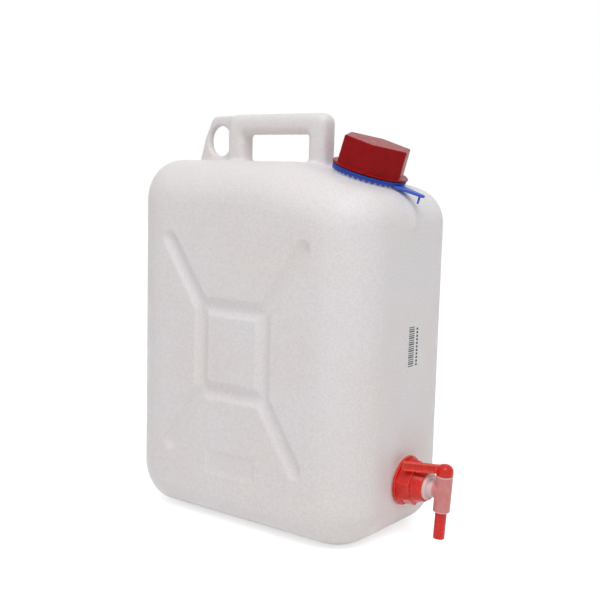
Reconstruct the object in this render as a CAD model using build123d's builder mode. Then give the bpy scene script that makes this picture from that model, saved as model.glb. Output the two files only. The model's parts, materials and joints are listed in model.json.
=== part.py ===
from build123d import *
from math import cos, radians, sin, tan
import os

os.makedirs("parts", exist_ok=True)

# Millimetres. The origin is the centre of the base, the tap points along +X and the front face looks to -Y.

# Blow-moulded body
body_length = 250.0
body_depth = 160.0
body_height = 314.0
wall = 2.0
edge_round_depth = 43.0
end_edge_round = 43.0
top_edge_round = 35.5
base_edge_round = 26.0
base_corner = 36.0
rear_corner = 30.5
shoulder_corner = 30.0
shoulder_break_radius = 30.0
face_corner_share = 0.45
rounding_steps = 6

# Sloping shoulder that carries the neck
shoulder_start = 28.5
shoulder_tilt = 14.7

# Pressed grooves of the two large faces
groove_width = 15.0
groove_depth = 3.4
frame_length = 68.0
frame_height = 72.0
frame_centre_height = 154.5
brace_top_reach = 72.0
brace_top_drop = 69.0
brace_base_reach = 69.0
brace_base_height = 65.0

# Shallow plain panel low on each large face
panel_length = 54.0
panel_height = 19.5
panel_centre_height = 56.0
panel_depth = 0.6
panel_corner = 2.0

# Tubular grip
grip_height = 42.3
grip_left = -71.5
grip_right = 39.8
grip_thickness = 20.0
grip_leg = 19.8
grip_bar = 18.3
grip_round = 7.5
grip_corner = 9.0
grip_window_corner = 3.0
grip_root = 14.0

# Thin web with the hanging hole, between the grip and the rear end
web_thickness = 8.0
web_round = 1.9
web_foot = -108.8
web_lean_low = 16.5
web_lean_high = 26.0
web_knee = 21.5
web_top_drop = 1.2
web_knee_radius = 40.0
web_corner = 6.0
hanging_hole_width = 26.4
hanging_hole_height = 28.0
hanging_hole_rise = 18.5
hanging_hole_inset = 12.7

# Soft keel from the neck down over the shoulder corner
keel_height = 1.5
keel_half_width = 7.0
keel_side_taper = 11.0
keel_drop = 39.0

# Neck, in heights above the shoulder along its own tilted axis
neck_position = 78.2
neck_tilt = 17.0
neck_radius = 21.2
neck_wall = 2.5
neck_sink = 10.0
collar_radius = 29.4
collar_height = 5.4

# Tamper ring with its pull tab
ring_skirt = 1.7
ring_web = 1.5
ring_drop = 3.0
ring_gap = 0.4
ring_tooth_count = 40
ring_tooth_radius = 1.3
tab_reach = 24.5
tab_root_width = 15.0
tab_tip_width = 4.0
tab_thickness = 2.2
hook_radius = 0.9
hook_length = 6.0
hook_inset = 3.6

# Six-sided screw cap
cap_gap = 0.8
cap_flange_radius = 32.6
cap_flange_thickness = 1.5
cap_hex_radius = 30.9
cap_hex_height = 23.0
cap_hex_taper = 1.0
cap_hex_turn = -4.0
cap_edge_round = 1.2
cap_roof = 2.2
cap_thread_gap = 1.8

# Disc seal held inside the cap
liner_thickness = 1.6
liner_gap = 0.4

# Threaded tap boss of the container
tap_height = 51.9
tap_droop = 3.35
tap_stand_off = 1.3
boss_radius = 15.0
boss_length = 8.5
boss_bore_radius = 10.5
boss_sink = 12.0
boss_pad_radius = 18.5
boss_pad_gap = 0.3

# Red nut that clamps the tap
nut_flange_radius = 21.0
nut_flange_thickness = 2.2
nut_grip_radius = 19.4
nut_grip_sides = 8
nut_grip_turn = -9.0
nut_grip_corner = 1.4
nut_grip_taper = 4.6
nut_grip_end = 13.3
nut_thread_gap = 1.0
nut_nose_radius = 15.5
nut_nose_tip_radius = 12.8
nut_nose_end = 22.0
nut_nose_gap = 0.3

# Washer between the boss and the tap
washer_thickness = 2.0
washer_edge_gap = 0.5

# Translucent tap body
inlet_flange_thickness = 2.5
inlet_radius = 11.15
inlet_end = 24.6
inlet_bore_radius = 8.0
inlet_floor = 2.0
throat_radius = 7.2
throat_bore_radius = 3.4
barrel_offset = 36.1
barrel_radius = 7.0
barrel_above = 13.1
barrel_below = 17.3

# Turning plug with head, lever and spout
plug_radius = 5.2
plug_running_gap = 0.05
head_gap = 0.2
head_height = 9.5
head_round = 6.0
lever_reach = 35.0
lever_direction = 212.0
lever_low = 14.5
lever_height = 7.2
lever_thickness = 4.6
lever_web = 2.2
lever_lip = 1.3
lever_tip_round = 2.0
spout_radius = 4.8
spout_length = 23.0
spout_bore_radius = 3.2
spout_bore_above = 4.2
port_radius = 3.0

# Paper-thin sticker on the tap end
label_width = 21.0
label_height = 42.0
label_thickness = 0.2
label_centre_y = 7.5
label_centre_height = 164.5
label_corner = 1.5

quarter = radians(90)
slope = radians(shoulder_tilt)
neck_foot_height = body_height - (neck_position - shoulder_start) * tan(slope)
upward = (Align.CENTER, Align.CENTER, Align.MIN)
downward = (Align.CENTER, Align.CENTER, Align.MAX)


def side_outline(turn, inset):
    """Corners and radii of the side outline where the edge rounding has turned by this angle."""
    left_over = 1 - sin(turn)
    end_inset = inset + (end_edge_round - inset) * left_over
    top_inset = inset + (top_edge_round - inset) * left_over
    base_inset = inset + (base_edge_round - inset) * left_over
    end = body_length / 2 - end_inset
    top = body_height - top_inset
    slope_x = shoulder_start - sin(slope) * top_inset
    slope_z = body_height - cos(slope) * top_inset
    corners = [
        (-end, base_inset),
        (end, base_inset),
        (end, slope_z - (end - slope_x) * tan(slope)),
        (slope_x + (slope_z - top) / tan(slope), top),
        (-end, top),
    ]
    share = 1 - (1 - face_corner_share) * left_over
    full_radii = [base_corner, base_corner, shoulder_corner, shoulder_break_radius, rear_corner]
    radii = [radius * share - inset for radius in full_radii]
    return corners, radii


def rounded_body(inset):
    """Soft block of the body, with every surface moved in by the inset."""
    flat_half = body_depth / 2 - edge_round_depth
    with BuildPart() as block:
        for step in range(rounding_steps + 1):
            turn = quarter * step / rounding_steps
            section_depth = flat_half + (edge_round_depth - inset) * cos(turn)
            corners, radii = side_outline(turn, inset)
            with BuildSketch(Plane.XZ.offset(section_depth)):
                with BuildLine():
                    FilletPolyline(*corners, radius=radii, close=True)
                make_face()
        loft()
        mirror(about=Plane.XZ)
        with BuildSketch(Plane.XZ):
            with BuildLine():
                FilletPolyline(*corners, radius=radii, close=True)
            make_face()
        extrude(amount=flat_half, both=True)
    return block.part


def groove_runs():
    """Start and end of each pressed groove on a large face, as length and height."""
    reach = frame_length / 2
    low = frame_centre_height - frame_height / 2
    high = frame_centre_height + frame_height / 2
    runs = [((-reach, low), (reach, low)), ((-reach, high), (reach, high))]
    for side in (-1, 1):
        runs.append(((side * reach, low), (side * reach, high)))
        runs.append(((side * reach, high), (side * brace_top_reach, body_height - brace_top_drop)))
        runs.append(((side * reach, low), (side * brace_base_reach, brace_base_height)))
    return runs


def groove_tool(skin):
    """Round-bottomed grooves of both faces, as one solid grown by the skin."""
    round_radius = (groove_width**2 / 4 + groove_depth**2) / (2 * groove_depth)
    axis_plane = Plane.XZ.offset(body_depth / 2 + round_radius - groove_depth)
    with BuildPart() as grooves:
        for start, end in groove_runs():
            first = axis_plane.from_local_coords((*start, 0))
            last = axis_plane.from_local_coords((*end, 0))
            run = last - first
            with BuildSketch(Plane(origin=first, z_dir=run)):
                Circle(round_radius + skin)
            extrude(amount=run.length)
            with Locations(first, last):
                Sphere(round_radius + skin)
        mirror(about=Plane.XZ)
    return grooves.part


def grip_tube(inset):
    """Upturned U of the grip, with every surface moved in by the inset."""
    top = body_height + grip_height - inset
    low = body_height - grip_root
    left = grip_left + inset
    right = grip_right - inset
    window_left = grip_left + grip_leg - inset
    window_right = grip_right - grip_leg + inset
    window_top = body_height + grip_height - grip_bar + inset
    corner = grip_corner - inset
    window_corner = grip_window_corner + inset
    points = [
        (left, low),
        (left, top),
        (right, top),
        (right, low),
        (window_right, low),
        (window_right, window_top),
        (window_left, window_top),
        (window_left, low),
    ]
    radii = [0, corner, corner, 0, 0, window_corner, window_corner, 0]
    with BuildPart() as tube:
        with BuildSketch(Plane.XZ):
            with BuildLine():
                FilletPolyline(*points, radius=radii, close=True)
            make_face()
        extrude(amount=grip_thickness / 2 - inset, both=True)
        rims = tube.faces().filter_by(Plane.XZ).edges()
        fillet(rims - rims.group_by(Axis.Z)[0], grip_round - inset)
    return tube.part


def hanging_web():
    """Thin web with the hanging hole, joined to the rear leg of the grip."""
    top = body_height + grip_height - web_top_drop
    low = body_height - grip_root
    knee_height = body_height + web_knee
    knee = web_foot + web_knee * tan(radians(web_lean_low))
    corner = knee + (top - knee_height) * tan(radians(web_lean_high))
    inner = grip_left + grip_leg / 2
    root = web_foot - grip_root * tan(radians(web_lean_low))
    inner_top = top + web_top_drop / 2
    points = [(root, low), (knee, knee_height), (corner, top), (inner, inner_top), (inner, low)]
    hole_x = grip_left - hanging_hole_inset
    with BuildPart() as web:
        with BuildSketch(Plane.XZ):
            with BuildLine():
                FilletPolyline(*points, radius=[0, web_knee_radius, web_corner, 0, 0], close=True)
            make_face()
            with Locations((hole_x, body_height + hanging_hole_rise)):
                Ellipse(hanging_hole_width / 2, hanging_hole_height / 2, mode=Mode.SUBTRACT)
        extrude(amount=web_thickness / 2, both=True)
        rims = web.faces().filter_by(Plane.XZ).edges()
        fillet(rims - rims.group_by(Axis.Z)[0] - rims.group_by(Axis.X)[-1], web_round)
    return web.part


def shoulder_keel():
    """Low keel on the middle plane, from the neck collar over the shoulder corner."""
    corners, radii = side_outline(quarter, -keel_height)
    with BuildPart() as keel:
        with BuildSketch(Plane.XZ):
            with BuildLine():
                FilletPolyline(*corners, radius=radii, close=True)
            make_face()
            with Locations((neck_position, neck_foot_height - keel_drop)):
                Rectangle(body_length, body_height, align=(Align.MIN, Align.MIN), mode=Mode.INTERSECT)
        extrude(amount=keel_half_width, both=True, taper=keel_side_taper)
    return keel.part


# Tilted frames of the neck and of the tap
neck_angle = radians(neck_tilt)
neck_across = (cos(neck_angle), 0, -sin(neck_angle))
neck_up = (sin(neck_angle), 0, cos(neck_angle))
neck_plane = Plane(origin=(neck_position, 0, neck_foot_height), x_dir=neck_across, z_dir=neck_up)
droop = radians(tap_droop)
tap_out = (cos(droop), 0, -sin(droop))
tap_up = (sin(droop), 0, cos(droop))
tap_plane = Plane(origin=(body_length / 2 + tap_stand_off, 0, tap_height), x_dir=tap_up, z_dir=tap_out)
barrel_plane = Plane(origin=tap_plane.from_local_coords((0, 0, barrel_offset)), x_dir=tap_out, z_dir=tap_up)

# Heights along the neck
ring_top = collar_height + ring_web
cap_bottom = ring_top + cap_gap
cap_seat = cap_bottom + cap_flange_thickness
cap_top = cap_seat + cap_hex_height
liner_top = cap_top - cap_roof
neck_top = liner_top - liner_thickness
cap_bore_radius = neck_radius + cap_thread_gap
ring_radius = collar_radius + ring_gap + ring_skirt
ring_low = collar_height - ring_drop

# Places along the tap
washer_end = boss_length + washer_thickness
inlet_flange_end = washer_end + inlet_flange_thickness
nut_bore_radius = boss_radius + nut_thread_gap
seal_radius = nut_bore_radius - washer_edge_gap

outside = rounded_body(0)
inside = rounded_body(wall)
grip_outside = grip_tube(0)
grip_inside = grip_tube(wall)
web_solid = hanging_web()
keel_solid = shoulder_keel()
groove_outside = groove_tool(0)
groove_inside = groove_tool(wall)

# Space inside the container
with BuildPart() as cavity:
    add(inside)
    add(groove_inside, mode=Mode.SUBTRACT)
    add(grip_inside)

# Container: body, grip, web, neck and tap boss blown as one piece
with BuildPart() as container:
    add(outside)
    add(groove_outside, mode=Mode.SUBTRACT)
    for side in (-1, 1):
        with BuildSketch(Plane.XZ.offset(side * body_depth / 2)):
            with Locations((0, panel_centre_height)):
                RectangleRounded(panel_length, panel_height, panel_corner)
        extrude(amount=-side * panel_depth, mode=Mode.SUBTRACT)
    add(grip_outside)
    add(web_solid)
    add(keel_solid)
    with BuildSketch(neck_plane.offset(-neck_sink)):
        Circle(collar_radius)
    extrude(amount=neck_sink + collar_height)
    with BuildSketch(neck_plane):
        Circle(neck_radius)
    extrude(amount=neck_top)
    with BuildSketch(tap_plane.offset(-boss_sink)):
        Circle(boss_pad_radius)
    extrude(amount=boss_sink - boss_pad_gap)
    with BuildSketch(tap_plane.offset(-boss_pad_gap)):
        Circle(boss_radius)
    extrude(amount=boss_pad_gap + boss_length)
    add(cavity.part, mode=Mode.SUBTRACT)
    with BuildSketch(neck_plane.offset(-2 * neck_sink)):
        Circle(neck_radius - neck_wall)
    extrude(amount=2 * neck_sink + neck_top, mode=Mode.SUBTRACT)
    with BuildSketch(tap_plane.offset(-boss_sink)):
        Circle(boss_bore_radius)
    extrude(amount=boss_sink + boss_length, mode=Mode.SUBTRACT)
container.part.label = "container"
export_step(container.part, "parts/container.step")

# Screw cap: flange, tapered six-sided grip and plain bore
with BuildPart(neck_plane) as screw_cap:
    with Locations((0, 0, cap_bottom)):
        Cylinder(cap_flange_radius, cap_flange_thickness, align=upward)
    with BuildSketch(neck_plane.offset(cap_seat)):
        RegularPolygon(cap_hex_radius, 6, rotation=cap_hex_turn)
    extrude(amount=cap_hex_height, taper=cap_hex_taper)
    top_face = screw_cap.faces().sort_by(Axis(neck_plane.origin, neck_plane.z_dir))[-1]
    fillet(top_face.edges(), cap_edge_round)
    with Locations((0, 0, cap_bottom)):
        Cylinder(cap_bore_radius, liner_top - cap_bottom, align=upward, mode=Mode.SUBTRACT)
screw_cap.part.label = "screw_cap"
export_step(screw_cap.part, "parts/screw_cap.step")

# Disc seal inside the cap, resting on the rim of the neck
with BuildPart(neck_plane) as cap_liner:
    with Locations((0, 0, neck_top)):
        Cylinder(cap_bore_radius - liner_gap, liner_thickness, align=upward)
cap_liner.part.label = "cap_liner"
export_step(cap_liner.part, "parts/cap_liner.step")

# Tamper ring: toothed skirt hung over the neck collar, and a pull tab with a hook
with BuildPart(neck_plane) as tamper_ring:
    with Locations((0, 0, ring_low)):
        Cylinder(ring_radius, ring_top - ring_low, align=upward)
        Cylinder(collar_radius + ring_gap, ring_drop, align=upward, mode=Mode.SUBTRACT)
    with Locations((0, 0, collar_height)):
        Cylinder(neck_radius + ring_gap, ring_web, align=upward, mode=Mode.SUBTRACT)
    with Locations((0, 0, ring_low)):
        with PolarLocations(ring_radius, ring_tooth_count):
            tooth_cut = 2 * (ring_skirt + ring_gap)
            Cylinder(ring_tooth_radius, tooth_cut, rotation=(0, 90, 0), mode=Mode.SUBTRACT)
    with BuildSketch(neck_plane.offset(ring_low)):
        with BuildLine():
            Polyline(
                (ring_radius - ring_skirt / 2, -tab_root_width / 2),
                (ring_radius + tab_reach, -tab_tip_width / 2),
                (ring_radius + tab_reach, tab_tip_width / 2),
                (ring_radius - ring_skirt / 2, tab_root_width / 2),
                close=True,
            )
        make_face()
        with Locations((0, 0)):
            Circle(ring_radius - ring_skirt / 2, mode=Mode.SUBTRACT)
    extrude(amount=tab_thickness)
    with Locations((ring_radius + tab_reach - hook_inset, 0, ring_low)):
        Cylinder(hook_radius, hook_length, align=downward)
tamper_ring.part.label = "tamper_ring"
export_step(tamper_ring.part, "parts/tamper_ring.step")

# Nut: flange, eight-sided tapered grip and a short conical nose
with BuildPart(tap_plane) as tap_nut:
    Cylinder(nut_flange_radius, nut_flange_thickness, align=upward)
    with BuildSketch(tap_plane.offset(nut_flange_thickness)) as nut_grip:
        RegularPolygon(nut_grip_radius, nut_grip_sides, rotation=nut_grip_turn)
        fillet(nut_grip.vertices(), nut_grip_corner)
    extrude(amount=nut_grip_end - nut_flange_thickness, taper=nut_grip_taper)
    with Locations((0, 0, nut_grip_end)):
        Cone(nut_nose_radius, nut_nose_tip_radius, nut_nose_end - nut_grip_end, align=upward)
    Cylinder(nut_bore_radius, inlet_flange_end, align=upward, mode=Mode.SUBTRACT)
    Cylinder(inlet_radius + nut_nose_gap, nut_nose_end, align=upward, mode=Mode.SUBTRACT)
tap_nut.part.label = "tap_nut"
export_step(tap_nut.part, "parts/tap_nut.step")

# Washer clamped between the boss and the tap body
with BuildPart(tap_plane) as tap_washer:
    with Locations((0, 0, boss_length)):
        Cylinder(seal_radius, washer_thickness, align=upward)
        Cylinder(boss_bore_radius, washer_thickness, align=upward, mode=Mode.SUBTRACT)
tap_washer.part.label = "tap_washer"
export_step(tap_washer.part, "parts/tap_washer.step")

# Tap body: clamped flange, inlet tube, throat and upright barrel
with BuildPart(tap_plane) as tap_body:
    with Locations((0, 0, washer_end)):
        Cylinder(seal_radius, inlet_flange_thickness, align=upward)
        Cylinder(inlet_radius, inlet_end - washer_end, align=upward)
        Cylinder(throat_radius, barrel_offset - washer_end, align=upward)
    with BuildSketch(barrel_plane.offset(-barrel_below)):
        Circle(barrel_radius)
    extrude(amount=barrel_below + barrel_above)
    with Locations((0, 0, washer_end)):
        Cylinder(throat_bore_radius, barrel_offset - washer_end, align=upward, mode=Mode.SUBTRACT)
        Cylinder(inlet_bore_radius, inlet_end - washer_end - inlet_floor, align=upward, mode=Mode.SUBTRACT)
    with BuildSketch(barrel_plane.offset(-barrel_below)):
        Circle(plug_radius)
    extrude(amount=barrel_below + barrel_above, mode=Mode.SUBTRACT)
tap_body.part.label = "tap_body"
export_step(tap_body.part, "parts/tap_body.step")

# Plug: core, domed head, lever and hollow spout turn together
with BuildPart(barrel_plane) as tap_plug:
    head_low = barrel_above + head_gap
    with Locations((0, 0, head_low)):
        Cylinder(barrel_radius, head_height, align=upward)
    head_face = tap_plug.faces().sort_by(Axis(barrel_plane.origin, barrel_plane.z_dir))[-1]
    fillet(head_face.edges(), head_round)
    lever_place = Location((0, 0, lever_low), (0, 0, lever_direction))
    with Locations(lever_place):
        Box(lever_reach, lever_thickness, lever_height, align=(Align.MIN, Align.CENTER, Align.MIN))
    lever_turn = radians(lever_direction)
    tip = barrel_plane.from_local_coords(
        (lever_reach * cos(lever_turn), lever_reach * sin(lever_turn), lever_low)
    )
    upright_edges = tap_plug.edges().filter_by(Axis(barrel_plane.origin, barrel_plane.z_dir))
    fillet(upright_edges.sort_by_distance(tip)[0:2], lever_tip_round)
    for side in (-1, 1):
        pocket_corner = (barrel_radius + lever_lip, side * lever_thickness / 2, lever_lip)
        with Locations(lever_place * Location(pocket_corner)):
            Box(
                lever_reach - barrel_radius - 2 * lever_lip,
                lever_thickness - lever_web,
                lever_height - 2 * lever_lip,
                align=(Align.MIN, Align.CENTER, Align.MIN),
                mode=Mode.SUBTRACT,
            )
    with Locations((0, 0, head_low)):
        Cylinder(plug_radius - plug_running_gap, head_low + barrel_below, align=downward)
    with Locations((0, 0, -barrel_below)):
        Cylinder(spout_radius, spout_length, align=downward)
    with Locations((0, 0, spout_bore_above)):
        spout_bore_length = spout_bore_above + barrel_below + spout_length
        Cylinder(spout_bore_radius, spout_bore_length, align=downward, mode=Mode.SUBTRACT)
    Cylinder(port_radius, plug_radius, rotation=(-90, 0, 0), align=upward, mode=Mode.SUBTRACT)
tap_plug.part.label = "tap_plug"
export_step(tap_plug.part, "parts/tap_plug.step")

# Sticker on the flat of the tap end
with BuildPart() as label:
    label_centre = (body_length / 2, label_centre_y, label_centre_height)
    with BuildSketch(Plane(origin=label_centre, x_dir=(0, 1, 0), z_dir=(1, 0, 0))):
        RectangleRounded(label_width, label_height, label_corner)
    extrude(amount=label_thickness)
label.part.label = "label"
export_step(label.part, "parts/label.step")
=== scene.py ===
"""Plastic carboy with a screw cap, a tamper ring and a lever tap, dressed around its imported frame."""

import json
import logging
from collections.abc import Callable, Sequence
from dataclasses import dataclass
from enum import Enum
from math import atan2, cos, pi, radians, sin, sqrt, tan

import bmesh
import bpy
from mathutils import Matrix, Vector


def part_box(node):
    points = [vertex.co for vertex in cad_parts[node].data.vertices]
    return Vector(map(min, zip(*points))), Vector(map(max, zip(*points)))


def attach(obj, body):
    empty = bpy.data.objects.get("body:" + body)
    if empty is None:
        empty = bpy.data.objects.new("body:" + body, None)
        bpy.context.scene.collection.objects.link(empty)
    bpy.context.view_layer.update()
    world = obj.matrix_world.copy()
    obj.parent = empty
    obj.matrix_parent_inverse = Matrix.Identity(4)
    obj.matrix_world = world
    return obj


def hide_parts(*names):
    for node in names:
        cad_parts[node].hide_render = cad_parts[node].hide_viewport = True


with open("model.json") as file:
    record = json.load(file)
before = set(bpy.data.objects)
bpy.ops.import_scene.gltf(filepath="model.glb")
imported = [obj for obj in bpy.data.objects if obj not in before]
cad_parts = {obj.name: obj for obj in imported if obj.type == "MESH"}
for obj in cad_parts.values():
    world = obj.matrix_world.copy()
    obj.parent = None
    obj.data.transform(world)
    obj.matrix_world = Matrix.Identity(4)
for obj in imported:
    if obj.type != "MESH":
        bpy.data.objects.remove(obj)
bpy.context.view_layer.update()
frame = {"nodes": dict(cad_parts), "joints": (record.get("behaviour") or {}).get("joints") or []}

log = logging.getLogger("carboy")

MM = 0.001
WELD = 1e-6
STRAIGHT_TURN = 1e-6
NOISE_SPAN = (0.3, 0.7)

Pair = tuple[float, float]
Colour = tuple[float, float, float]
Profile = list[Pair]
RingShape = Callable[[float], Pair]
Socket = bpy.types.NodeSocket
BMesh = bmesh.types.BMesh


class Body(Enum):
    """Rigid bodies of the carboy that a piece can ride on."""

    CONTAINER = "container"
    CAP = "cap"
    PLUG = "plug"


class Slot(Enum):
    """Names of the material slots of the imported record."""

    NATURAL = "natural_plastic"
    CAP_RED = "cap_red"
    RING_BLUE = "ring_blue"
    TAP_RED = "tap_red"
    TAP_CLEAR = "tap_clear_red"
    LABEL = "label_paper"


# Placements worked out from the joints of the frame


def joint_frame(name: str) -> Matrix:
    """Builds the placement of a turning joint.

    Args:
        name: The hinge's name in the record.

    Returns:
        A matrix with the hinge's axis as third axis, a level second axis and the hinge's place as origin.
    """
    joint = next(joint for joint in frame["joints"] if joint["name"] == name)
    up = Vector(joint["axis"]).normalized()
    level = Vector((0, 1, 0))
    across = level.cross(up).normalized()
    turned = Matrix((across, level, up)).transposed().to_4x4()
    return Matrix.Translation(joint["pos_m"]) @ turned


def tap_frame(barrel_offset: float) -> Matrix:
    """Builds the placement of the tap, whose third axis points out of the container.

    Args:
        barrel_offset: Distance from the nut's back face to the barrel's axis, in metres.

    Returns:
        A matrix with the barrel's axis direction as first axis and the outward direction as third axis.
    """
    barrel = joint_frame("tap_turn")
    outward = barrel.to_3x3() @ Vector((1, 0, 0))
    upward = barrel.to_3x3() @ Vector((0, 0, 1))
    turned = Matrix((upward, outward.cross(upward), outward)).transposed().to_4x4()
    return Matrix.Translation(barrel.translation - outward * barrel_offset) @ turned


# Shapes


def rounded_profile(corners: Sequence[tuple[float, float, float]], steps: int = 5) -> Profile:
    """Rounds the inner corners of an open profile with arcs.

    Args:
        corners: Radius, height and rounding of each corner, all in the same unit.
        steps: Number of spans in each arc.

    Returns:
        Points of the profile as radius and height.
    """
    points: Profile = [corners[0][:2]]
    for before, here, after in zip(corners, corners[1:], corners[2:]):
        rounding = here[2]
        into = Vector((here[0] - before[0], here[1] - before[1])).normalized()
        out = Vector((after[0] - here[0], after[1] - here[1])).normalized()
        turn = into.angle_signed(out)
        if rounding <= 0 or abs(turn) < STRAIGHT_TURN:
            points.append(here[:2])
            continue
        reach = rounding * tan(abs(turn) / 2)
        start = Vector(here[:2]) - into * reach
        side = -1 if turn > 0 else 1
        centre = start + Vector((-into.y, into.x)) * rounding * side
        for step in range(steps + 1):
            swing = Matrix.Rotation(-turn * step / steps, 2)
            points.append(tuple(centre + swing @ (start - centre)))
    points.append(corners[-1][:2])
    return points


def polygon_radius(angle: float, sides: int, inradius: float, corner: float, turn: float) -> float:
    """Measures how far a regular polygon with rounded corners reaches in one direction.

    Args:
        angle: Direction in radians.
        sides: Number of sides.
        inradius: Distance from the centre to each flat.
        corner: Radius of the rounded corners.
        turn: Direction of one corner in radians.

    Returns:
        The distance from the centre to the outline.
    """
    half = pi / sides
    from_corner = abs((angle - turn + half) % (2 * half) - half)
    centre = (inradius - corner) / cos(half)
    tangent = atan2(corner * sin(half), centre + corner * cos(half))
    if from_corner > tangent:
        return inradius / cos(half - from_corner)
    return centre * cos(from_corner) + sqrt(corner**2 - (centre * sin(from_corner)) ** 2)


def constant_rings(profile: Profile) -> list[RingShape]:
    """Turns each point of a profile into a round ring.

    Args:
        profile: Radius and height of each ring.

    Returns:
        One ring shape for each point of the profile.
    """
    return [lambda angle, point=point: point for point in profile]


def polygon_rings(profile: Profile, sides: int, corner: float, turn: float) -> list[RingShape]:
    """Turns each point of a profile into a polygonal ring with rounded corners.

    Args:
        profile: Inradius and height of each ring.
        sides: Number of sides.
        corner: Radius of the rounded corners at the first ring.
        turn: Direction of one corner in radians.

    Returns:
        One ring shape for each point of the profile.
    """
    first = profile[0][0]
    least_corner = 0.2 * corner

    def ring(inradius: float, height: float) -> RingShape:
        """Fixes one ring's size."""
        rounding = max(corner + inradius - first, least_corner)
        return lambda angle: (polygon_radius(angle, sides, inradius, rounding, turn), height)

    return [ring(inradius, height) for inradius, height in profile]


def loft(mesh: BMesh, rings: Sequence[RingShape], segments: int, placement: Matrix) -> None:
    """Adds a surface through rings that share one axis.

    Args:
        mesh: The mesh that takes the surface.
        rings: Shapes that give radius and height, in millimetres, for each angle.
        segments: Number of spans round the axis.
        placement: Where the axis stands.
    """
    part = bmesh.new()
    angle_of = part.verts.layers.float.new("angle")
    circle = bmesh.ops.create_circle(part, segments=segments, radius=1.0)
    for vertex in circle["verts"]:
        vertex[angle_of] = atan2(vertex.co.y, vertex.co.x)
    moving = circle["verts"]
    edges = list(part.edges)
    for index, ring in enumerate(rings):
        if index:
            grown = bmesh.ops.extrude_edge_only(part, edges=edges)["geom"]
            moving = [item for item in grown if isinstance(item, bmesh.types.BMVert)]
            edges = [item for item in grown if isinstance(item, bmesh.types.BMEdge)]
        for vertex in moving:
            angle = vertex[angle_of]
            radius, height = ring(angle)
            vertex.co = Vector((radius * cos(angle), radius * sin(angle), height)) * MM
    merge_into(mesh, part, placement)


def mesh_data(name: str, mesh: BMesh) -> bpy.types.Mesh:
    """Stores an edited mesh.

    Args:
        name: The stored mesh's name.
        mesh: The edited mesh, which is freed.

    Returns:
        The stored mesh.
    """
    data = bpy.data.meshes.new(name)
    mesh.to_mesh(data)
    mesh.free()
    return data


def linked(name: str, data: bpy.types.ID) -> bpy.types.Object:
    """Makes an object of the scene.

    Args:
        name: The object's name.
        data: Its mesh, lamp or camera.

    Returns:
        The new object.
    """
    made = bpy.data.objects.new(name, data)
    bpy.context.scene.collection.objects.link(made)
    return made


def merge_into(mesh: BMesh, part: BMesh, placement: Matrix) -> None:
    """Closes a part's seams, points its faces outwards and adds it to a mesh.

    Args:
        mesh: The mesh that takes the part.
        part: The part, which is freed.
        placement: Where the part stands.
    """
    bmesh.ops.remove_doubles(part, verts=part.verts, dist=WELD)
    bmesh.ops.recalc_face_normals(part, faces=part.faces)
    bmesh.ops.transform(part, matrix=placement, verts=part.verts)
    holder = mesh_data("part", part)
    mesh.from_mesh(holder)
    bpy.data.meshes.remove(holder)


def finished_piece(
    name: str, mesh: BMesh, body: Body, material: bpy.types.Material
) -> bpy.types.Object:
    """Makes a smooth-shaded object from a mesh and lets it ride on its body.

    Args:
        name: The piece's name.
        mesh: Its shape in the row frame, which is freed.
        body: The body that carries it.
        material: Its finish.

    Returns:
        The new object.
    """
    data = mesh_data(name, mesh)
    for face in data.polygons:
        face.use_smooth = True
    piece = linked(name, data)
    data.materials.append(material)
    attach(piece, body.value)
    log.info("%s: %d faces", name, len(data.polygons))
    return piece


@dataclass(frozen=True)
class MouldedCopy:
    """Soft-edged copy of a solid, as it comes out of its mould.

    Args:
        node: The solid's name.
        voxel: Spacing of the new surface, in metres.
        keep_share: Share of the faces kept where the surface is nearly flat.
        soften_rounds: How often the surface is relaxed.
        soften_step: How far each round moves a point towards its neighbours' middle.
    """

    node: str
    voxel: float
    keep_share: float = 1.0
    soften_rounds: int = 4
    soften_step: float = 0.5

    def shape(self) -> BMesh:
        """Builds the softened surface.

        Returns:
            The surface in the row frame.
        """
        merged = bmesh.new()
        merged.from_mesh(frame["nodes"][self.node].data)
        bmesh.ops.remove_doubles(merged, verts=merged.verts, dist=WELD)
        data = mesh_data(self.node + "_copy", merged)
        worker = linked(self.node + "_copy", data)
        remesh = worker.modifiers.new("skin", "REMESH")
        remesh.mode = "VOXEL"
        remesh.voxel_size = self.voxel
        smooth = worker.modifiers.new("soften", "SMOOTH")
        smooth.factor = self.soften_step
        smooth.iterations = self.soften_rounds
        if self.keep_share < 1:
            thin = worker.modifiers.new("thin", "DECIMATE")
            thin.ratio = self.keep_share
        depsgraph = bpy.context.evaluated_depsgraph_get()
        made = bpy.data.meshes.new_from_object(worker.evaluated_get(depsgraph))
        result = bmesh.new()
        result.from_mesh(made)
        bpy.data.objects.remove(worker)
        bpy.data.meshes.remove(data)
        bpy.data.meshes.remove(made)
        return result


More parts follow.
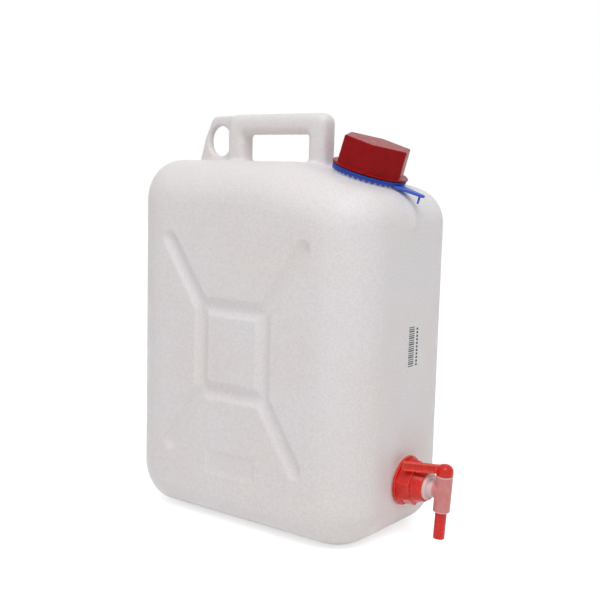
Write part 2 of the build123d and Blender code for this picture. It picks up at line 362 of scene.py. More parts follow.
@dataclass(frozen=True)
class ScrewThread:
    """Helical ridge on a round neck or inside a round bore.

    Args:
        root: Radius of the wall that carries the ridge.
        crest: Radius of the ridge's crest.
        pitch: Rise of one turn.
        turns: Number of turns.
        start: Height of the ridge's start.
        root_width: Width of the ridge at the wall.
        crest_width: Width of the ridge at its crest.
        steps: Spans in one turn.
    """

    root: float
    crest: float
    pitch: float
    turns: float
    start: float
    root_width: float = 2.4
    crest_width: float = 0.9
    steps: int = 96

    def shape(self, placement: Matrix) -> BMesh:
        """Builds the ridge by a rising spin of its section.

        Args:
            placement: Where the thread's axis stands.

        Returns:
            The ridge in the row frame.
        """
        part = bmesh.new()
        corners = [
            (self.root, -self.root_width / 2),
            (self.crest, -self.crest_width / 2),
            (self.crest, self.crest_width / 2),
            (self.root, self.root_width / 2),
        ]
        section = [part.verts.new(Vector((radius, 0, self.start + rise)) * MM) for radius, rise in corners]
        face = part.faces.new(section)
        count = round(self.steps * self.turns)
        bmesh.ops.spin(
            part,
            geom=[face, *face.edges, *section],
            cent=(0, 0, 0),
            axis=(0, 0, 1),
            dvec=(0, 0, self.pitch * MM / self.steps),
            angle=2 * pi * self.turns,
            steps=count,
        )
        result = bmesh.new()
        merge_into(result, part, placement)
        return result


# Finishes


class ShaderGraph:
    """Node tree of one material, with short ways to add the textures of moulded plastic."""

    def __init__(self, name: str) -> None:
        """Starts a material with one Principled shader.

        Args:
            name: The material's name.
        """
        self.material = bpy.data.materials.new(name)
        self.material.use_nodes = True
        self.tree = self.material.node_tree
        self.shader = next(node for node in self.tree.nodes if node.type == "BSDF_PRINCIPLED")
        self.place = self.node("ShaderNodeTexCoord", {}).outputs["Object"]

    def feed(self, source: object, target: Socket) -> None:
        """Joins a source socket to a target socket, or gives the target a plain value."""
        if isinstance(source, Socket):
            self.tree.links.new(source, target)
        else:
            target.default_value = (*source, 1) if target.type == "RGBA" else source

    def fill(self, node: bpy.types.Node, inputs: dict) -> None:
        """Feeds inputs of a node, given by name or number."""
        for key, source in inputs.items():
            self.feed(source, node.inputs[key])

    def node(self, kind: str, inputs: dict, **settings: object) -> bpy.types.Node:
        """Adds a node, sets its properties and feeds its inputs.

        Args:
            kind: The node's type name.
            inputs: Sockets or plain values for its inputs.
            **settings: Properties to set on it.

        Returns:
            The new node.
        """
        made = self.tree.nodes.new(kind)
        for key, value in settings.items():
            setattr(made, key, value)
        self.fill(made, inputs)
        return made

    def noise(self, scale: float, detail: float = 2.0) -> Socket:
        """Adds a noise texture.

        Args:
            scale: Number of features in a metre.
            detail: Number of finer layers.

        Returns:
            Its value socket.
        """
        made = self.node("ShaderNodeTexNoise", {"Scale": scale, "Detail": detail, "Vector": self.place})
        return made.outputs["Fac"]

    def math(self, operation: str, first: object, second: object = 0.0) -> Socket:
        """Adds a math node.

        Args:
            operation: The node's operation.
            first: A socket or a number.
            second: A socket or a number.

        Returns:
            Its value socket.
        """
        return self.node("ShaderNodeMath", {0: first, 1: second}, operation=operation).outputs["Value"]

    def spread(self, value: Socket, low: float, high: float, to: Pair) -> Socket:
        """Maps a value's range onto another one, smoothly and with its ends held.

        Args:
            value: The socket to map.
            low: Where the range starts.
            high: Where the range ends.
            to: What the start and the end become.

        Returns:
            The mapped value.
        """
        ends = {"Value": value, "From Min": low, "From Max": high, "To Min": to[0], "To Max": to[1]}
        return self.node("ShaderNodeMapRange", ends, interpolation_type="SMOOTHSTEP").outputs["Result"]

    def mottle(self, scale: float, detail: float, to: Pair = (0, 1)) -> Socket:
        """Adds a noise texture that fills a range of values.

        Args:
            scale: Number of features in a metre.
            detail: Number of finer layers.
            to: What its low and high places become.

        Returns:
            The mapped value.
        """
        return self.spread(self.noise(scale, detail), *NOISE_SPAN, to)

    def blend(self, share: Socket, first: object, second: object) -> Socket:
        """Mixes two colours.

        Args:
            share: How much of the second colour shows.
            first: A colour or a colour socket.
            second: A colour or a colour socket.

        Returns:
            The mixed colour.
        """
        return self.node("ShaderNodeMix", {0: share, 6: first, 7: second}, data_type="RGBA").outputs[2]

    def bump(self, height: Socket, depth: float, strength: float) -> None:
        """Lays a relief on the surface, over any that it has.

        Args:
            height: The relief's height, from 0 to 1.
            depth: What 1 stands for, in metres.
            strength: How strongly it shows.
        """
        made = self.node("ShaderNodeBump", {"Distance": depth, "Strength": strength, "Height": height})
        normal = self.shader.inputs["Normal"]
        if normal.is_linked:
            self.feed(normal.links[0].from_socket, made.inputs["Normal"])
        self.feed(made.outputs["Normal"], normal)

    def along(self, origin: Vector, direction: Vector) -> Socket:
        """Measures a place along a line.

        Args:
            origin: The line's zero, in metres.
            direction: The line's direction.

        Returns:
            The distance along the line, in metres.
        """
        made = self.node("ShaderNodeVectorMath", {0: self.place, 1: direction}, operation="DOT_PRODUCT")
        return self.math("SUBTRACT", made.outputs["Value"], origin.dot(direction))


def shaded(colour: Colour, share: float) -> Colour:
    """Darkens a colour evenly.

    Args:
        colour: The colour.
        share: How much of its brightness stays.

    Returns:
        The darker colour.
    """
    return tuple(share * value for value in colour)


@dataclass(frozen=True)
class Skin:
    """Gloss, depth and grain of a plastic surface.

    Args:
        roughness: Lowest and highest roughness.
        specular: Specular level.
        polish_scale: Features in a metre of the changes in roughness.
        polish_detail: Number of finer layers of these changes.
        scatter: Share of light that spreads below the surface.
        reach: How far it spreads, in metres.
        tint: Share of the reach for red, green and blue.
        grain: Features in a metre of the fine grain.
        grain_depth: Depth of the fine grain, in metres.
        grain_strength: How strongly the fine grain shows.
    """

    roughness: Pair
    specular: float = 0.12
    polish_scale: float = 300
    polish_detail: float = 3
    scatter: float = 0.08
    reach: float = 0.0012
    tint: Colour = (1.0, 0.3, 0.25)
    grain: float = 1500
    grain_depth: float = 0.00005
    grain_strength: float = 0.5

    def apply(self, graph: ShaderGraph) -> None:
        """Sets the skin on a material, over any relief that it has.

        Args:
            graph: The material's node tree.
        """
        inputs = {
            "Roughness": graph.mottle(self.polish_scale, self.polish_detail, self.roughness),
            "Specular IOR Level": self.specular,
            "Subsurface Weight": self.scatter,
            "Subsurface Radius": self.tint,
            "Subsurface Scale": self.reach,
        }
        graph.fill(graph.shader, inputs)
        graph.bump(graph.noise(self.grain), self.grain_depth, self.grain_strength)


@dataclass(frozen=True)
class NaturalPlastic:
    """Milky natural polyethylene with a sand-blasted skin and a faint mould seam.

    Args:
        cool: Colour of its bluer clouds.
        warm: Colour of its warmer clouds.
        speckle_shade: Brightness of the fine darker speckles.
        cloud_scale: Features in a metre of the clouds.
        cloud_span: Noise values between which the clouds fade.
        speckle_scale: Features in a metre of the speckles.
        wave_scale: Features in a metre of the soft waves.
        wave_depth: Depth of the soft waves.
        wave_strength: How strongly the soft waves show.
        seam_half_width: Half the width of the mould seam.
        seam_depth: Height of the mould seam.
        seam_strength: How strongly the mould seam shows.
        skin: Gloss, depth and blasted grain.
    """

    cool: Colour = (0.83, 0.80, 0.81)
    warm: Colour = (0.83, 0.785, 0.775)
    speckle_shade: float = 0.93
    cloud_scale: float = 14
    cloud_span: Pair = (0.35, 0.65)
    speckle_scale: float = 520
    wave_scale: float = 45
    wave_depth: float = 0.0006
    wave_strength: float = 0.35
    seam_half_width: float = 0.0006
    seam_depth: float = 0.00015
    seam_strength: float = 0.6
    skin: Skin = Skin(
        roughness=(0.36, 0.5),
        specular=0.3,
        polish_scale=60,
        scatter=0.25,
        tint=(1.0, 0.9, 0.8),
        grain=1300,
        grain_depth=0.00012,
    )

    def material(self) -> bpy.types.Material:
        """Builds the material.

        Returns:
            The finished material.
        """
        graph = ShaderGraph("natural_polyethylene")
        cloudy = graph.spread(graph.noise(self.cloud_scale, 3), *self.cloud_span, (0, 1))
        speckle = graph.mottle(self.speckle_scale, 2)
        tone = graph.blend(cloudy, self.cool, self.warm)
        darker = [shaded(colour, self.speckle_shade) for colour in (self.cool, self.warm)]
        grained = graph.blend(speckle, graph.blend(cloudy, *darker), tone)
        graph.feed(grained, graph.shader.inputs["Base Color"])
        graph.bump(graph.noise(self.wave_scale), self.wave_depth, self.wave_strength)
        self.skin.apply(graph)
        across = graph.node("ShaderNodeSeparateXYZ", {0: graph.place})
        seam = graph.spread(graph.math("ABSOLUTE", across.outputs["Y"]), 0, self.seam_half_width, (1, 0))
        graph.bump(seam, self.seam_depth, self.seam_strength)
        return graph.material


@dataclass(frozen=True)
class MouldedPlastic:
    """Coloured moulded plastic, with a painted highlight in a paler colour along its sharp edges, and a
    fine skin.

    Args:
        name: The material's name.
        colour: Its main colour.
        edge_highlight_colour: Painted highlight colour on sharp edges, where the light catches them.
        skin: Gloss, depth and grain.
        edge: Pointiness where the painted edge highlight starts and where it is full.
        edge_highlight_share: How much of the painted edge highlight shows.
        shade: Brightness of the deeper patches.
        patch_scale: Features in a metre of the patches.
    """

    name: str
    colour: Colour
    edge_highlight_colour: Colour
    skin: Skin
    edge: Pair = (0.505, 0.56)
    edge_highlight_share: float = 0.85
    shade: float = 0.84
    patch_scale: float = 160

    def material(self) -> bpy.types.Material:
        """Builds the material.

        Returns:
            The finished material.
        """
        graph = ShaderGraph(self.name)
        mottled = graph.mottle(self.patch_scale, 3)
        body = graph.blend(mottled, shaded(self.colour, self.shade), self.colour)
        # Sharp edges get a paler colour: a painted highlight where the light catches them.
        ridge = graph.node("ShaderNodeNewGeometry", {}).outputs["Pointiness"]
        painted_edge_highlight = graph.spread(ridge, *self.edge, (0, self.edge_highlight_share))
        graph.feed(graph.blend(painted_edge_highlight, body, self.edge_highlight_colour), graph.shader.inputs["Base Color"])
        self.skin.apply(graph)
        return graph.material


# The edge colour of each plastic below is a painted highlight on its sharp edges.
CAP_RED = MouldedPlastic(
    name="cap_red_plastic",
    colour=(0.30, 0.003, 0.005),
    edge_highlight_colour=(0.62, 0.03, 0.02),
    skin=Skin(roughness=(0.3, 0.42)),
    edge=(0.53, 0.60),
)
RING_BLUE = MouldedPlastic(
    name="ring_blue_plastic",
    colour=(0.03, 0.06, 0.40),
    edge_highlight_colour=(0.07, 0.15, 0.62),
    skin=Skin(roughness=(0.36, 0.48)),
)
TAP_RED = MouldedPlastic(
    name="tap_red_plastic",
    colour=(0.72, 0.015, 0.009),
    edge_highlight_colour=(0.92, 0.14, 0.04),
    skin=Skin(roughness=(0.2, 0.32), specular=0.35),
)


@dataclass(frozen=True)
class FrostedPlastic:
    """Translucent natural plastic that is pale at its rims and pink where the red plug glows through.

    Args:
        pale: Colour of the disc, the throat and the rims.
        glow: Colour in front of the plug.
        barrel_radius: Radius of the barrel round the plug, in metres.
        above: Height of the barrel's upper end over the tap's middle.
        below: Depth of its lower end under the tap's middle.
        rim: Width of the pale rims.
        throat_share: Distance from the barrel's axis, in its radii, where the pink starts.
        streak_scale: Features in a metre of the paler streaks.
        streak_span: Share of the pink in the palest and the fullest streaks.
        clearness: Share of the light that goes through.
        skin: Gloss, depth and grain.
    """

    pale: Colour = (0.90, 0.70, 0.71)
    glow: Colour = (0.74, 0.25, 0.24)
    barrel_radius: float = 0.007
    above: float = 0.0131
    below: float = 0.0173
    rim: float = 0.0016
    throat_share: float = 1.3
    streak_scale: float = 240
    streak_span: Pair = (0.85, 1)
    clearness: float = 0.12
    skin: Skin = Skin(
        roughness=(0.34, 0.46),
        specular=0.3,
        polish_scale=420,
        polish_detail=2,
        scatter=0.3,
        reach=0.0015,
        tint=(1.0, 0.6, 0.6),
        grain=900,
        grain_depth=0.00006,
        grain_strength=0.4,
    )

    def material(self) -> bpy.types.Material:
        """Builds the material.

        Returns:
            The finished material.
        """
        graph = ShaderGraph("frosted_plastic")
        barrel = joint_frame("tap_turn")
        outward = graph.along(barrel.translation, barrel.to_3x3().col[0])
        upward = graph.along(barrel.translation, barrel.to_3x3().col[2])
        edge = -self.throat_share * self.barrel_radius
        pink = graph.spread(outward, edge, edge + 2 * self.rim, (0, 1))
        low = graph.spread(upward, -self.below, self.rim - self.below, (0, 1))
        high = graph.spread(upward, self.above - self.rim, self.above, (1, 0))
        share = graph.math("MULTIPLY", pink, graph.math("MULTIPLY", low, high))
        streaks = graph.mottle(self.streak_scale, 3, self.streak_span)
        body = graph.blend(graph.math("MULTIPLY", share, streaks), self.pale, self.glow)
        graph.feed(body, graph.shader.inputs["Base Color"])
        graph.shader.inputs["Transmission Weight"].default_value = self.clearness
        self.skin.apply(graph)
        return graph.material


@dataclass(frozen=True)
class PlainFinish:
    """Soft matte finish of seals, sticker film and print.

    Args:
        name: The material's name.
        colour: Its main colour.
        roughness: Its lowest and highest roughness.
        shade: Brightness of its pores.
        pore_scale: Features in a metre of its pores.
        pore_depth: Depth of its pores, in metres.
        pore_strength: How strongly its pores show.
        polish_scale: Features in a metre of the changes in roughness.
    """

    name: str
    colour: Colour
    roughness: Pair
    shade: float = 0.9
    pore_scale: float = 1800
    pore_depth: float = 0.00004
    pore_strength: float = 0.4
    polish_scale: float = 400

    def material(self) -> bpy.types.Material:
        """Builds the material.

        Returns:
            The finished material.
        """
        graph = ShaderGraph(self.name)
        pores = graph.mottle(self.pore_scale, 2)
        tone = graph.blend(pores, shaded(self.colour, self.shade), self.colour)
        graph.feed(tone, graph.shader.inputs["Base Color"])
        graph.feed(graph.mottle(self.polish_scale, 2, self.roughness), graph.shader.inputs["Roughness"])
        graph.bump(pores, self.pore_depth, self.pore_strength)
        return graph.material


SEAL_FOAM = PlainFinish(name="seal_foam", colour=(0.78, 0.78, 0.75), roughness=(0.7, 0.8))
LABEL_FILM = PlainFinish(name="label_film", colour=(0.80, 0.79, 0.79), roughness=(0.3, 0.4), pore_scale=900)
LABEL_INK = PlainFinish(name="label_ink", colour=(0.07, 0.07, 0.08), roughness=(0.5, 0.6), pore_scale=2500)


# Sub-assemblies


@dataclass
class Container:
    """Blow-moulded body with its grip, web, neck and tap boss, in one soft skin.

    Args:
        skin: Soft copy of the solid.
        thread: Thread on the outside of the neck.
    """

    skin: MouldedCopy = MouldedCopy("container", voxel=0.0016, keep_share=0.36)
    thread: ScrewThread = ScrewThread(root=20.9, crest=22.3, pitch=5.0, turns=2.4, start=13.0)

    def build(self) -> None:
        """Builds the skin and the neck thread and dresses them."""
        finish = NaturalPlastic().material()
        body = finished_piece("container_skin", self.skin.shape(), Body.CONTAINER, finish)
        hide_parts("container")
        ridge = self.thread.shape(joint_frame("cap_turn"))
        finished_piece("neck_thread", ridge, Body.CONTAINER, finish)


@dataclass
class ScrewCap:
    """Six-sided cap with a round flange, in millimetres above the neck's foot.

    Args:
        flange_low: Height of the flange's underside.
        flange_high: Height of the flange's upper side.
        top: Height of the cap's top.
        flange_radius: Radius of the flange.
        flat_low: Distance from the axis to the flats at their foot.
        flat_high: Distance from the axis to the flats at the top.
        corner: Radius of the upright corners.
        turn: Direction of one corner.
        bore: Radius of the inside.
        bore_corner: Rounding where the inside meets the roof.
        lip: Rounding of the inside's mouth.
        roof: Height of the roof inside.
        edge: Rounding of the top's rim.
        flange_edge: Rounding of the flange's rims.
        root_fillet: Fillet between the flange and the flats.
        sides: Number of flats.
        segments: Spans round the axis.
        thread: Thread on the inside.
    """

    flange_low: float = 7.7
    flange_high: float = 9.2
    top: float = 32.2
    flange_radius: float = 32.6
    flat_low: float = 26.76
    flat_high: float = 26.36
    corner: float = 2.2
    turn: float = radians(-4.0)
    bore: float = 23.0
    bore_corner: float = 0.8
    lip: float = 0.4
    roof: float = 30.0
    edge: float = 1.2
    flange_edge: float = 0.45
    root_fillet: float = 0.8
    sides: int = 6
    segments: int = 288
    thread: ScrewThread = ScrewThread(root=23.2, crest=21.9, pitch=5.0, turns=2.2, start=10.9)

    def rings(self) -> list[RingShape]:
        """Lists the rings of the cap from the middle of its roof to the middle of its top.

        Returns:
            The ring shapes in their order.
        """
        foot = self.flat_low + 3 * self.root_fillet
        inside = [
            (0, self.roof, 0),
            (self.bore, self.roof, self.bore_corner),
            (self.bore, self.flange_low, self.lip),
            (self.flange_radius, self.flange_low, self.flange_edge),
            (self.flange_radius, self.flange_high, self.flange_edge),
            (foot, self.flange_high, 0),
        ]
        outside = [
            (foot, self.flange_high, 0),
            (self.flat_low, self.flange_high, self.root_fillet),
            (self.flat_high, self.top, self.edge),
            (self.flat_high - 3 * self.edge, self.top, 0),
        ]
        rings = constant_rings(rounded_profile(inside)[:-1])
        corner = self.corner + 3 * self.root_fillet
        rings += polygon_rings(rounded_profile(outside), self.sides, corner, self.turn)
        rings.append(lambda angle: (0, self.top))
        return rings

    def build(self) -> None:
        """Builds the cap and its inner thread and dresses them."""
        finish = CAP_RED.material()
        mesh = bmesh.new()
        placement = joint_frame("cap_turn")
        loft(mesh, self.rings(), self.segments, placement)
        cap = finished_piece("screw_cap_shell", mesh, Body.CAP, finish)
        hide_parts("screw_cap")
        finished_piece("cap_thread", self.thread.shape(placement), Body.CAP, finish)


@dataclass
class TamperRing:
    """Toothed ring over the neck's collar with a pull tab, in millimetres above the neck's foot.

    Args:
        low: Height of the teeth's tips and of the tab's underside.
        under_web: Height of the web's underside.
        top: Height of the ring's top.
        outer: Outer radius of the skirt.
        skirt_inner: Inner radius of the skirt.
        web_inner: Inner radius of the web.
        bevel: Bevel at the foot of the skirt.
        tooth_count: Number of teeth.
        tooth_cut: Radius of the cuts between the teeth.
        knurl_count: Number of fine teeth round the top.
        knurl_depth: Depth of the fine teeth.
        knurl_height: Height of the band of fine teeth.
        knurl_stand: How far the fine teeth stand out.
        knurl_slopes: Heights of the band's two slopes.
        knurl_top: Setback of the top's rim.
        segments: Spans round the axis.
        tab_reach: Length of the tab beyond the ring.
        tab_root: Width of the tab at the ring.
        tab_tip: Width of the tab at its end.
        tab_thickness: Thickness of the tab.
        tab_bevel: Bevel of the tab's edges.
        tab_overlap: How far the tab reaches into the skirt.
        hook_radius: Radius of the hook.
        hook_length: Length of the hook below the tab.
        hook_inset: Distance from the tab's end to the hook.
        hook_edge: Rounding of its tip, and its reach into the tab.
        hook_segments: Spans round the hook.
    """

    low: float = 2.4
    under_web: float = 5.4
    top: float = 6.9
    outer: float = 31.5
    skirt_inner: float = 29.8
    web_inner: float = 21.6
    bevel: float = 0.3
    tooth_count: int = 40
    tooth_cut: float = 1.3
    knurl_count: int = 120
    knurl_depth: float = 0.5
    knurl_height: float = 1.3
    knurl_stand: float = 0.35
    knurl_slopes: Pair = (0.25, 0.2)
    knurl_top: float = 0.6
    segments: int = 720
    tab_reach: float = 24.5
    tab_root: float = 15.0
    tab_tip: float = 4.0
    tab_thickness: float = 2.2
    tab_bevel: float = 0.5
    tab_overlap: float = 0.9
    hook_radius: float = 0.9
    hook_length: float = 6.0
    hook_inset: float = 3.6
    hook_edge: float = 0.4
    hook_segments: int = 24

    def scallop(self, radius: float) -> RingShape:
        """Lets a lower ring rise in round cuts between the teeth.

        Args:
            radius: Radius of the ring.

        Returns:
            The ring's shape.
        """
        pitch = 2 * pi / self.tooth_count

        def rise(angle: float) -> float:
            """Gives the height of the cut at an angle."""
            away = abs((angle + pitch / 2) % pitch - pitch / 2) * self.outer
            return sqrt(max(self.tooth_cut**2 - away**2, 0))

        return lambda angle: (radius, self.low + rise(angle))

    def knurled(self, radius: float, height: float) -> RingShape:
        """Lets an upper ring swing in and out in fine teeth.

        Args:
            radius: Outer radius of the teeth.
            height: Height of the ring.

        Returns:
            The ring's shape.
        """
        pitch = 2 * pi / self.knurl_count
        return lambda angle: (radius - self.knurl_depth * abs((angle / pitch) % 1 - 0.5) * 2, height)

    def rings(self) -> list[RingShape]:
        """Lists the rings of the moulding round its section.

        Returns:
            The ring shapes in their order.
        """
        knurl_low = self.top - self.knurl_height
        tips = self.outer + self.knurl_stand
        lower_slope, upper_slope = self.knurl_slopes
        return [
            *constant_rings([(self.web_inner, self.top), (self.web_inner, self.under_web)]),
            *constant_rings([(self.skirt_inner, self.under_web)]),
            self.scallop(self.skirt_inner),
            self.scallop(self.outer - self.bevel),
            lambda angle: (self.outer, self.scallop(self.outer)(angle)[1] + self.bevel),
            *constant_rings([(self.outer, knurl_low)]),
            self.knurled(tips, knurl_low + lower_slope),
            self.knurled(tips, self.top - upper_slope),
            *constant_rings([(self.outer - self.knurl_top, self.top), (self.web_inner, self.top)]),
        ]

    def add_tab(self, mesh: BMesh, placement: Matrix) -> None:
        """Adds the tapered pull tab and its hook.

        Args:
            mesh: The mesh that takes them.
            placement: Where the neck stands.
        """
        start = self.outer - self.tab_overlap
        end = self.outer + self.tab_reach
        part = bmesh.new()
        bmesh.ops.create_cube(part, size=1.0)
        for vertex in part.verts:
            outer_end = vertex.co.x > 0
            width = self.tab_tip if outer_end else self.tab_root
            vertex.co.x = (end if outer_end else start) * MM
            vertex.co.y *= width * MM
            vertex.co.z = (self.low + (self.tab_thickness if vertex.co.z > 0 else 0)) * MM
        bevel = self.tab_bevel * MM
        bmesh.ops.bevel(
            part, geom=part.edges, offset=bevel, segments=3, profile=0.5, affect="EDGES", material=-1
        )
        merge_into(mesh, part, placement)
        hook_at = Matrix.Translation(Vector((end - self.hook_inset, 0, 0)) * MM)
        root = self.low + self.hook_edge
        tip = self.low - self.hook_length
        corners = [
            (0, root, 0),
            (self.hook_radius, root, 0),
            (self.hook_radius, tip, self.hook_edge),
            (0, tip, 0),
        ]
        hook = constant_rings(rounded_profile(corners, 3))
        loft(mesh, hook, self.hook_segments, placement @ hook_at)

    def build(self) -> None:
        """Builds the ring with its tab and dresses it."""
        finish = RING_BLUE.material()
        placement = joint_frame("cap_turn")
        mesh = bmesh.new()
        loft(mesh, self.rings(), self.segments, placement)
        self.add_tab(mesh, placement)
        ring = finished_piece("tamper_ring_moulding", mesh, Body.CONTAINER, finish)
        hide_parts("tamper_ring")


@dataclass
class Tap:
    """Nut, tap body and turning plug, in millimetres along the tap from the nut's back face.

    Args:
        barrel_offset: Place of the barrel's axis.
        flange_radius: Radius of the nut's flange.
        flange_end: End of the flange.
        grip_radius: Radius over the corners of the nut's grip.
        grip_sides: Number of its flats.
        grip_turn: Direction of one of its corners.
        grip_corner: Radius of its corners.
        grip_taper: Slope of its flats.
        grip_end: End of the grip.
        grip_edge: Rounding of its front rim.
        flange_ledge: Width of the round band of the flange's face.
        grip_ledge: Width of the band with flats at the grip's foot.
        nose_ledge: Distances from the nose to the grip's last ring and to the nose's first.
        nose_radius: Radius of the nose at the grip.
        nose_tip: Radius of the nose at its tip.
        nose_end: End of the nose.
        nose_edge: Rounding of its tip.
        bore: Radius of the nut's inside.
        bore_end: End of the inside.
        throat: Radius of the hole round the tap body's throat.
        edge: Rounding of the flange's rims.
        fillet: Fillet at the foot of the nose and at the throat's mouth.
        root: Fillet at the foot of the grip and at the inside's mouth.
        segments: Spans round the axis.
        body: Soft copy of the tap body.
        plug: Soft copy of the plug.
    """

    barrel_offset: float = 36.1
    flange_radius: float = 21.0
    flange_end: float = 2.2
    grip_radius: float = 19.4
    grip_sides: int = 8
    grip_turn: float = radians(-9.0)
    grip_corner: float = 1.4
    grip_taper: float = radians(4.6)
    grip_end: float = 13.3
    grip_edge: float = 0.9
    flange_ledge: float = 1.2
    grip_ledge: float = 1.1
    nose_ledge: Pair = (0.6, 0.5)
    nose_radius: float = 15.5
    nose_tip: float = 12.8
    nose_end: float = 22.0
    nose_edge: float = 0.7
    bore: float = 16.0
    bore_end: float = 13.0
    throat: float = 11.45
    edge: float = 0.5
    fillet: float = 0.3
    root: float = 0.4
    segments: int = 288
    body: MouldedCopy = MouldedCopy("tap_body", voxel=0.0004)
    plug: MouldedCopy = MouldedCopy("tap_plug", voxel=0.00036)

    def nut_rings(self) -> list[RingShape]:
        """Lists the rings of the nut round its section.

        Returns:
            The ring shapes in their order.
        """
        half = pi / self.grip_sides
        flat = self.grip_radius * cos(half)
        grip_inset, nose_inset = self.nose_ledge
        fall = (self.grip_end - self.flange_end) * tan(self.grip_taper)
        back = [
            (self.bore, self.bore_end, 0),
            (self.bore, 0, self.root),
            (self.flange_radius, 0, self.edge),
            (self.flange_radius, self.flange_end, self.edge),
            (self.flange_radius - self.flange_ledge, self.flange_end, 0),
        ]
        grip = [
            (flat + self.grip_ledge, self.flange_end, 0),
            (flat, self.flange_end, self.root),
            (flat - fall, self.grip_end, self.grip_edge),
            (self.nose_radius + grip_inset, self.grip_end, 0),
        ]
        nose = [
            (self.nose_radius + nose_inset, self.grip_end, 0),
            (self.nose_radius, self.grip_end, self.fillet),
            (self.nose_tip, self.nose_end, self.nose_edge),
            (self.throat, self.nose_end, self.fillet),
            (self.throat, self.bore_end, 0),
            (self.bore, self.bore_end, 0),
        ]
        corner = self.grip_corner + self.grip_ledge
        return [
            *constant_rings(rounded_profile(back)),
            *polygon_rings(rounded_profile(grip), self.grip_sides, corner, self.grip_turn),
            *constant_rings(rounded_profile(nose)),
        ]

    def build(self) -> None:
        """Builds the tap's three moulded pieces and dresses them."""
        red = TAP_RED.material()
        mesh = bmesh.new()
        loft(mesh, self.nut_rings(), self.segments, tap_frame(self.barrel_offset * MM))
        nut = finished_piece("tap_nut_moulding", mesh, Body.CONTAINER, red)
        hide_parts("tap_nut")
        frosted = FrostedPlastic().material()
        body = finished_piece("tap_barrel", self.body.shape(), Body.CONTAINER, frosted)
        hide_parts("tap_body")
        plug = finished_piece("tap_lever_plug", self.plug.shape(), Body.PLUG, red)
        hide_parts("tap_plug")


@dataclass
class Sticker:
    """Plain bars and dashes printed on the sticker of the tap end, in millimetres.

    Args:
        lift: How far the print stands off the sticker.
        low: Lowest print.
        high: Highest print.
        bars: Both ends of the bars.
        dashes: Both ends of the dashes.
        bar_pitch: Spacing of the bars.
        dash_pitch: Spacing of the dashes.
        bar_shares: Shares of the spacing that the bars fill, in turn.
        dash_share: Share of the spacing that each dash fills.
    """

    lift: float = 0.06
    low: float = 147.7
    high: float = 183.4
    bars: Pair = (-1.4, 7.2)
    dashes: Pair = (10.4, 13.0)
    bar_pitch: float = 1.8
    dash_pitch: float = 3.0
    bar_shares: tuple[float, ...] = (0.42, 0.62, 0.5)
    dash_share: float = 0.6

    def strip(self, mesh: BMesh, y: Pair, z: Pair) -> None:
        """Adds one flat strip of print.

        Args:
            mesh: The mesh that takes the strip.
            y: Its two ends across.
            z: Its two ends in height.
        """
        face_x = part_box("label")[1].x
        part = bmesh.new()
        bmesh.ops.create_cube(part, size=1.0)
        size = Vector((self.lift, y[1] - y[0], z[1] - z[0])) * MM
        bmesh.ops.scale(part, vec=size, verts=part.verts)
        centre = Vector((face_x + self.lift * MM / 2, sum(y) / 2 * MM, sum(z) / 2 * MM))
        merge_into(mesh, part, Matrix.Translation(centre))

    def column(self, mesh: BMesh, y: Pair, pitch: float, shares: tuple[float, ...]) -> None:
        """Adds a column of strips.

        Args:
            mesh: The mesh that takes them.
            y: Their two ends across.
            pitch: Their spacing.
            shares: Shares of the spacing that they fill, in turn.
        """
        for index in range(int((self.high - self.low) / pitch)):
            low = self.low + index * pitch
            self.strip(mesh, y, (low, low + pitch * shares[index % len(shares)]))

    def build(self) -> None:
        """Builds the print and dresses it and the sticker."""
        dress_node("label", LABEL_FILM.material())
        mesh = bmesh.new()
        self.column(mesh, self.bars, self.bar_pitch, self.bar_shares)
        self.column(mesh, self.dashes, self.dash_pitch, (self.dash_share,))
        finished_piece("label_print", mesh, Body.CONTAINER, LABEL_INK.material())


def dress_node(node: str, material: bpy.types.Material) -> None:
    """Gives a solid of the frame its finish.

    Args:
        node: The solid's name.
        material: Its finish.
    """
    data = frame["nodes"][node].data
    data.materials.clear()
    data.materials.append(material)
    log.info("%s dressed", node)


class Seals:
    """Cap liner and tap washer, whose solids have their true shape already."""

    def build(self) -> None:
        """Dresses both seals."""
        foam = SEAL_FOAM.material()
        dress_node("cap_liner", foam)
        dress_node("tap_washer", foam)


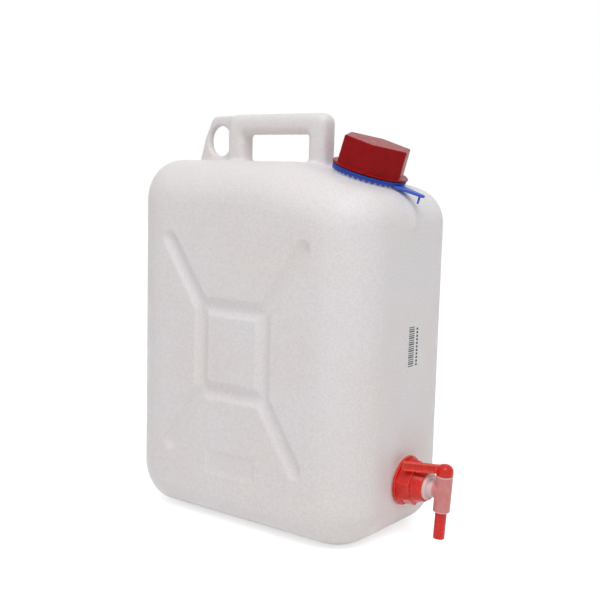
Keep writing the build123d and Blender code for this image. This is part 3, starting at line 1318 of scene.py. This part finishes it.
@dataclass
class Studio:
    """Pale floor, soft light and the camera of the photo.

    Args:
        camera_at: The camera's place.
        yaw: Its turn to the left of +Y.
        pitch: Its tilt below level.
        roll: Its roll to the left.
        lens: Its focal length, in millimetres.
        sensor: Width of its sensor, in millimetres.
        world_strength: Level of the even light from all sides.
        floor_half: Half the side of the floor.
        floor_lift: Glow that the floor shows to the eye, for a white ground.
        floor_white: Share of the light that the floor sends back.
        floor_roughness: Roughness of the floor.
        lamp_at: Place of the soft lamp above the tap end.
        lamp_size: Length of the lamp's side.
        lamp_watts: Power of the lamp.
        lamp_aim: Point that the lamp faces.
    """

    camera_at: tuple[float, float, float] = (0.53398, -0.69594, 0.30093)
    yaw: float = radians(36.926)
    pitch: float = radians(7.091)
    roll: float = radians(1.501)
    lens: float = 59.106
    sensor: float = 36.0
    world_strength: float = 0.50
    floor_half: float = 4.0
    floor_lift: float = 0.6
    floor_white: float = 0.93
    floor_roughness: float = 0.9
    lamp_at: tuple[float, float, float] = (0.6, -0.75, 1.7)
    lamp_size: float = 1.2
    lamp_watts: float = 16.0
    lamp_aim: tuple[float, float, float] = (0, 0, 0.18)

    def place_camera(self) -> None:
        """Creates the camera and makes it the scene's own."""
        data = bpy.data.cameras.new("photo_camera")
        data.lens = self.lens
        data.sensor_width = self.sensor
        data.clip_start = 0.01
        ahead = cos(self.pitch)
        forward = Vector((-sin(self.yaw) * ahead, cos(self.yaw) * ahead, -sin(self.pitch)))
        right = Vector((cos(self.yaw), sin(self.yaw), 0))
        up = right.cross(forward)
        turned = Matrix((right, up, -forward)).transposed() @ Matrix.Rotation(self.roll, 3, "Z")
        camera = linked("photo_camera", data)
        camera.matrix_world = Matrix.Translation(self.camera_at) @ turned.to_4x4()
        bpy.context.scene.camera = camera

    def seen_rays(self, tree: bpy.types.NodeTree) -> Socket:
        """Marks the rays that show a surface as it looks, straight, mirrored or through a clear piece.

        Args:
            tree: Node tree that gets the nodes.

        Returns:
            A socket that is one for such rays, and zero for the rays that light the scene.
        """
        path = tree.nodes.new("ShaderNodeLightPath")
        seen = path.outputs["Is Camera Ray"]
        for name in ("Is Glossy Ray", "Is Transmission Ray"):
            either = tree.nodes.new("ShaderNodeMath")
            either.operation = "MAXIMUM"
            tree.links.new(seen, either.inputs[0])
            tree.links.new(path.outputs[name], either.inputs[1])
            seen = either.outputs["Value"]
        return seen

    def lay_floor(self) -> None:
        """Lays the pale floor, white to the camera where nothing shades it."""
        mesh = bmesh.new()
        bmesh.ops.create_grid(mesh, x_segments=1, y_segments=1, size=self.floor_half)
        graph = ShaderGraph("floor_white")
        inputs = {
            "Base Color": [self.floor_white] * 3,
            "Roughness": self.floor_roughness,
            "Specular IOR Level": 0.0,
            "Emission Color": (1, 1, 1),
            "Emission Strength": graph.math("MULTIPLY", self.seen_rays(graph.tree), self.floor_lift),
        }
        graph.fill(graph.shader, inputs)
        floor = linked("floor", mesh_data("floor", mesh))
        floor.data.materials.append(graph.material)

    def light_world(self) -> None:
        """Makes the world an even soft light that looks white to the camera."""
        world = bpy.data.worlds.new("studio")
        world.use_nodes = True
        nodes, links = world.node_tree.nodes, world.node_tree.links
        background = next(node for node in nodes if node.type == "BACKGROUND")
        background.inputs["Color"].default_value = (1, 1, 1, 1)
        level = nodes.new("ShaderNodeMapRange")
        level.inputs["To Min"].default_value = self.world_strength
        level.inputs["To Max"].default_value = 1.0
        links.new(self.seen_rays(world.node_tree), level.inputs["Value"])
        links.new(level.outputs["Result"], background.inputs["Strength"])
        bpy.context.scene.world = world

    def hang_lamp(self) -> None:
        """Hangs the square soft lamp above the tap end."""
        data = bpy.data.lights.new("upper_right_soft", "AREA")
        data.size = self.lamp_size
        data.energy = self.lamp_watts
        lamp = linked("upper_right_soft", data)
        lamp.location = self.lamp_at
        aim = Vector(self.lamp_aim) - Vector(self.lamp_at)
        lamp.rotation_euler = aim.to_track_quat("-Z", "Y").to_euler()

    def build(self) -> None:
        """Sets the view transform, the stage, the lamp and the camera."""
        bpy.context.scene.view_settings.view_transform = "Standard"
        self.lay_floor()
        self.light_world()
        self.hang_lamp()
        self.place_camera()


def main() -> None:
    """Builds the stage and every piece of the carboy."""
    logging.basicConfig(level=logging.INFO, format="%(message)s")
    Studio().build()
    Container().build()
    ScrewCap().build()
    TamperRing().build()
    Tap().build()
    Seals().build()
    Sticker().build()


if __name__ == "__main__":
    main()
